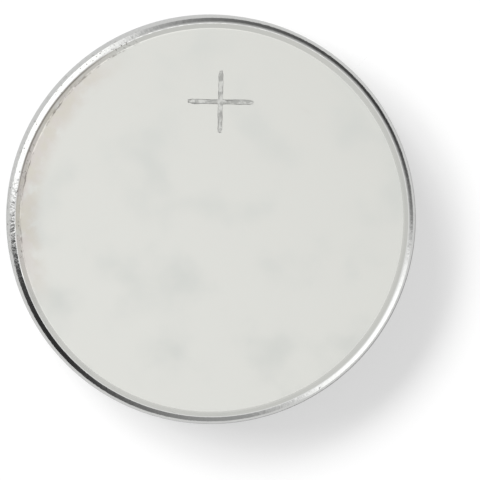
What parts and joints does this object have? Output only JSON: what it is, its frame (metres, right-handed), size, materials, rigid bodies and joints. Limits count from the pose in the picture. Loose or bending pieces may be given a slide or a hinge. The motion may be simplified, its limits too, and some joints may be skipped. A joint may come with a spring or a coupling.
{
  "type": "lithium coin cell",
  "caption": "Round flat lithium coin cell: a steel can crimped over a plastic gasket and a steel cap, with its electrodes inside.",
  "frame": {"origin": "centre of the negative face, on the surface that the cell lies on", "axes": "+Z along the axis of the cell, from the negative face to the positive face; +Y towards the plus sign on the positive face"},
  "size_m": [0.0124, 0.0124, 0.002],
  "materials": {
    "can_steel": "satin nickel-plated face, polished edge",
    "cap_steel": "satin, fine circular lines from the press",
    "gasket_plastic": "translucent natural polypropylene",
    "lithium_metal": "dull silver foil, slightly stained",
    "separator_cloth": "matte non-woven fibres",
    "cathode_mix": "pressed powder, graphite sheen",
    "ring_steel": "bright stamped sheet"
  },
  "bodies": {
    "root": {"positive_can": "can_steel", "gasket": "gasket_plastic", "negative_cap": "cap_steel", "lithium_anode": "lithium_metal", "separator": "separator_cloth", "cathode_pellet": "cathode_mix", "cathode_ring": "ring_steel"}
  },
  "joints": []
}
